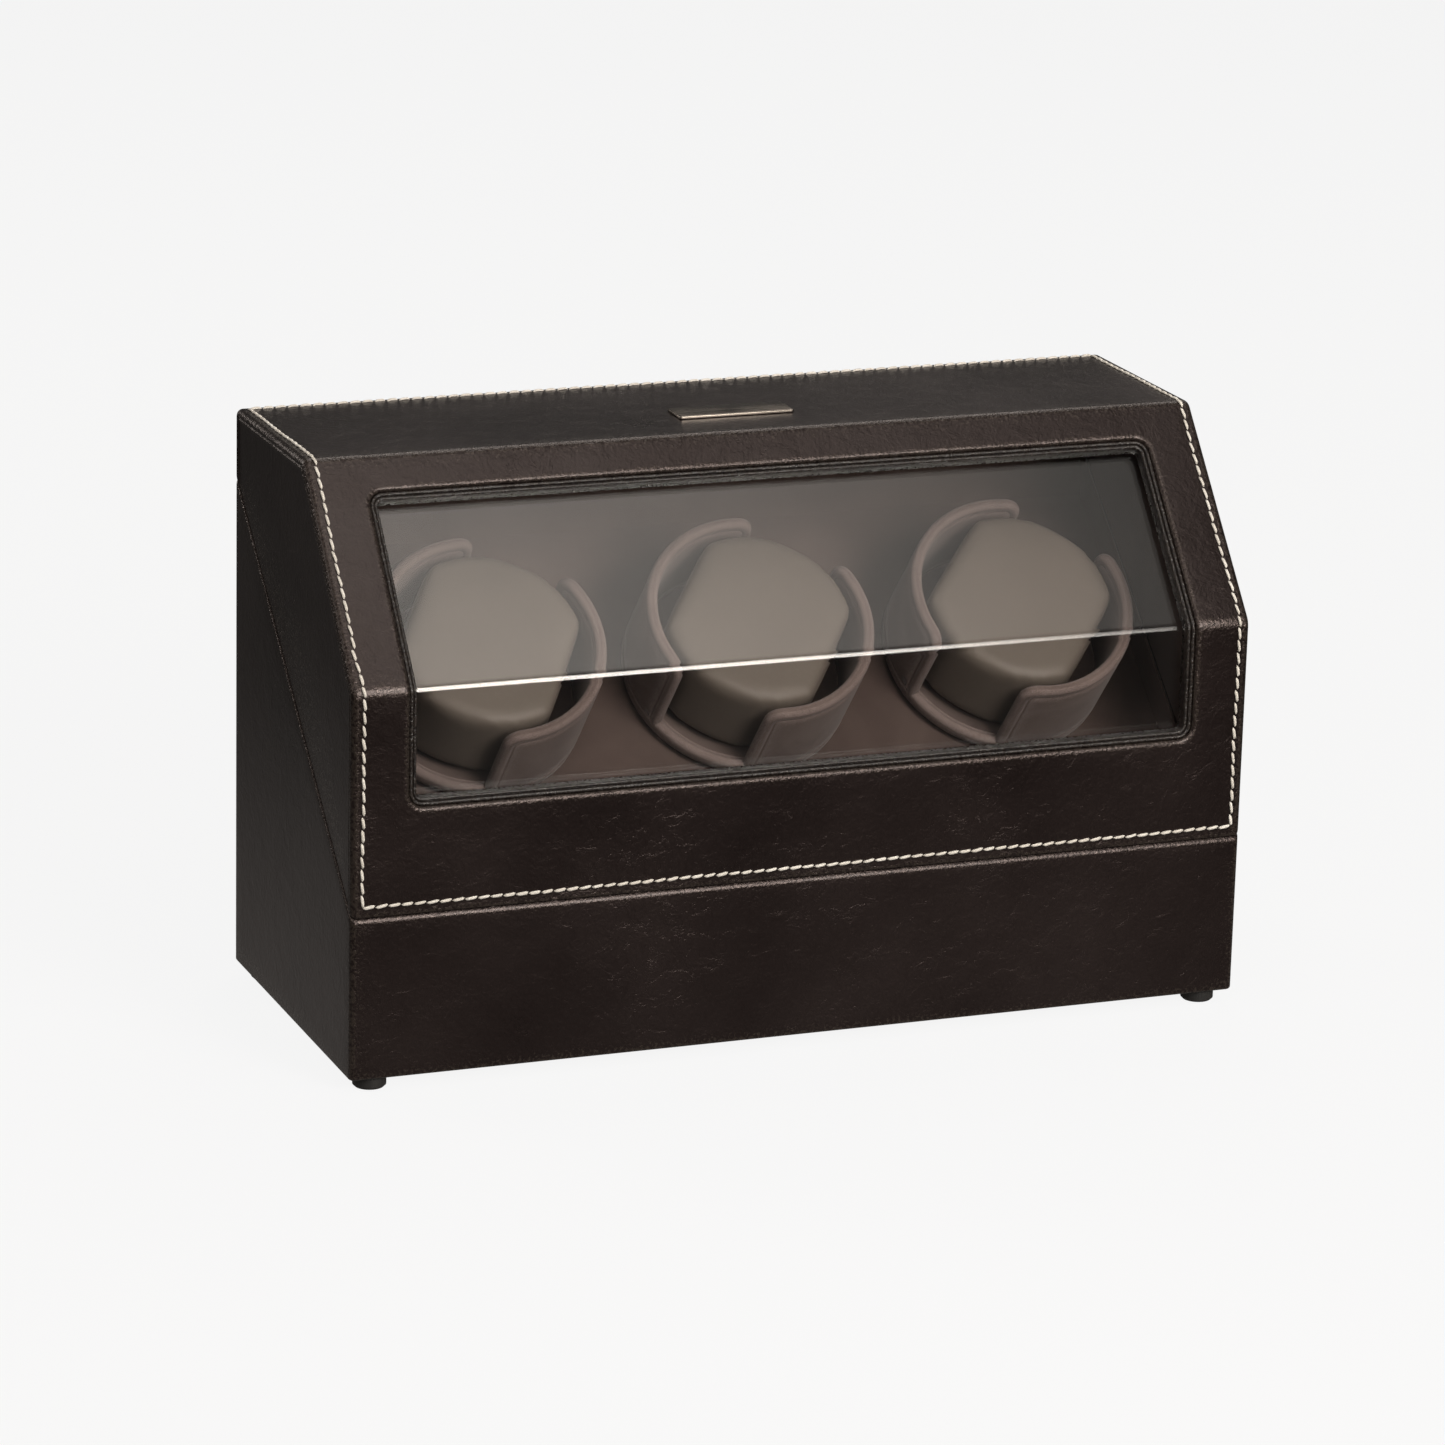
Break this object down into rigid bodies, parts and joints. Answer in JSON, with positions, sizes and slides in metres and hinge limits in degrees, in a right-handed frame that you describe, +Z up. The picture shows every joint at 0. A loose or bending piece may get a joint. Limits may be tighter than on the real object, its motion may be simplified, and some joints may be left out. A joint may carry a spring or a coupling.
{
  "type": "watch winder box",
  "caption": "Leather-covered box with a slanted, hinged, windowed lid over a sloping deck of belt-driven cups that hold and turn watches on pillows.",
  "frame": {"origin": "on the surface the box stands on, under the middle of the box", "axes": "+X to the right along the row of cups, +Y from the front with the window to the back with the hinges, +Z up"},
  "size_m": [0.34, 0.1438, 0.2153],
  "materials": {
    "cover_leather": "dark espresso grained leather, semi-gloss",
    "case_board": "fibre board, cut and sanded",
    "lining_velvet": "short-pile velvet",
    "cup_velvet": "short-pile velvet over a moulded cup",
    "pillow_leather": "smooth taupe leather over foam",
    "black_rubber": "matte",
    "hinge_steel": "nickel plated",
    "drive_steel": "zinc plated",
    "motor_steel": "plated can and housing",
    "plate_nickel": "brushed nickel",
    "control_plastic": "moulded black",
    "bush_plastic": "natural acetal",
    "board_laminate": "green laminate",
    "window_acrylic": "clear bent acrylic"
  },
  "bodies": {
    "base": {"base_front_board": "case_board", "base_back_board": "case_board", "base_left_board": "case_board", "base_right_board": "case_board", "bottom_cover": "case_board", "base_leather_cover": "cover_leather", "deck_board": "case_board", "deck_lining": "lining_velvet", "rubber_feet": "black_rubber", "base_screws": "hinge_steel", "shaft_bushes": "bush_plastic", "drive_plate": "drive_steel", "plate_standoffs": "drive_steel", "drive_bolts": "drive_steel", "drive_belts": "black_rubber", "hinge_base_leaves": "hinge_steel", "hinge_pins": "hinge_steel", "control_tray": "control_plastic", "dc_jack": "control_plastic", "switch_housing": "control_plastic", "selector_body": "control_plastic", "circuit_board": "board_laminate", "gear_motor_left": "motor_steel", "gear_motor_middle": "motor_steel", "gear_motor_right": "motor_steel"},
    "lid": {"lid_front_board": "case_board", "lid_slope_board": "case_board", "lid_top_board": "case_board", "lid_back_board": "case_board", "lid_left_board": "case_board", "lid_right_board": "case_board", "lid_leather_cover": "cover_leather", "lid_lining": "lining_velvet", "window_pane": "window_acrylic", "window_trim": "cover_leather", "blank_plate": "plate_nickel", "hinge_lid_leaves": "hinge_steel", "lid_hinge_screws": "hinge_steel"},
    "rocker": {"power_rocker": "control_plastic"},
    "knob": {"mode_knob": "control_plastic"},
    "cup_left": {"cup_shell_left": "cup_velvet", "cup_hub_left": "bush_plastic", "cup_pulley_left": "bush_plastic", "retaining_clip_left": "drive_steel"},
    "pillow_left": {"watch_pillow_left": "pillow_leather"},
    "motor_shaft_left": {"motor_pulley_left": "bush_plastic"},
    "cup_middle": {"cup_shell_middle": "cup_velvet", "cup_hub_middle": "bush_plastic", "cup_pulley_middle": "bush_plastic", "retaining_clip_middle": "drive_steel"},
    "pillow_middle": {"watch_pillow_middle": "pillow_leather"},
    "motor_shaft_middle": {"motor_pulley_middle": "bush_plastic"},
    "cup_right": {"cup_shell_right": "cup_velvet", "cup_hub_right": "bush_plastic", "cup_pulley_right": "bush_plastic", "retaining_clip_right": "drive_steel"},
    "pillow_right": {"watch_pillow_right": "pillow_leather"},
    "motor_shaft_right": {"motor_pulley_right": "bush_plastic"}
  },
  "joints": [
    {"name": "lid_hinge", "type": "hinge", "parent": "base", "child": "lid", "pos_m": [0, 0.07195, 0.189], "axis": [-1, 0, 0], "range_deg": [0, 80]},
    {"name": "power_rock", "type": "hinge", "parent": "base", "child": "rocker", "pos_m": [0, 0.0575, 0.047], "axis": [1, 0, 0], "range_deg": [0, 16]},
    {"name": "mode_turn", "type": "hinge", "parent": "base", "child": "knob", "pos_m": [0.026, 0.0586, 0.047], "axis": [0, 1, 0], "range_deg": [0, 120]},
    {"name": "cup_spin_left", "type": "hinge", "parent": "base", "child": "cup_left", "pos_m": [-0.1026, 0, 0.1263], "axis": [0, -0.6672, 0.7449], "continuous": true},
    {"name": "pillow_slide_left", "type": "slide", "parent": "cup_left", "child": "pillow_left", "axis": [0, -0.6672, 0.7449], "range_m": [0, 0.018]},
    {"name": "motor_spin_left", "type": "hinge", "parent": "base", "child": "motor_shaft_left", "pos_m": [-0.1026, -0.0144, 0.07044], "axis": [0, -0.6672, 0.7449], "continuous": true},
    {"name": "cup_spin_middle", "type": "hinge", "parent": "base", "child": "cup_middle", "pos_m": [0, 0, 0.1263], "axis": [0, -0.6672, 0.7449], "continuous": true},
    {"name": "pillow_slide_middle", "type": "slide", "parent": "cup_middle", "child": "pillow_middle", "axis": [0, -0.6672, 0.7449], "range_m": [0, 0.018]},
    {"name": "motor_spin_middle", "type": "hinge", "parent": "base", "child": "motor_shaft_middle", "pos_m": [0, -0.0144, 0.07044], "axis": [0, -0.6672, 0.7449], "continuous": true},
    {"name": "cup_spin_right", "type": "hinge", "parent": "base", "child": "cup_right", "pos_m": [0.1026, 0, 0.1263], "axis": [0, -0.6672, 0.7449], "continuous": true},
    {"name": "pillow_slide_right", "type": "slide", "parent": "cup_right", "child": "pillow_right", "axis": [0, -0.6672, 0.7449], "range_m": [0, 0.018]},
    {"name": "motor_spin_right", "type": "hinge", "parent": "base", "child": "motor_shaft_right", "pos_m": [0.1026, -0.0144, 0.07044], "axis": [0, -0.6672, 0.7449], "continuous": true}
  ],
  "couplings": [
    {"joint": "motor_spin_left", "follows": "cup_spin_left", "ratio": 3.4},
    {"joint": "motor_spin_middle", "follows": "cup_spin_middle", "ratio": 3.4},
    {"joint": "motor_spin_right", "follows": "cup_spin_right", "ratio": 3.4}
  ]
}
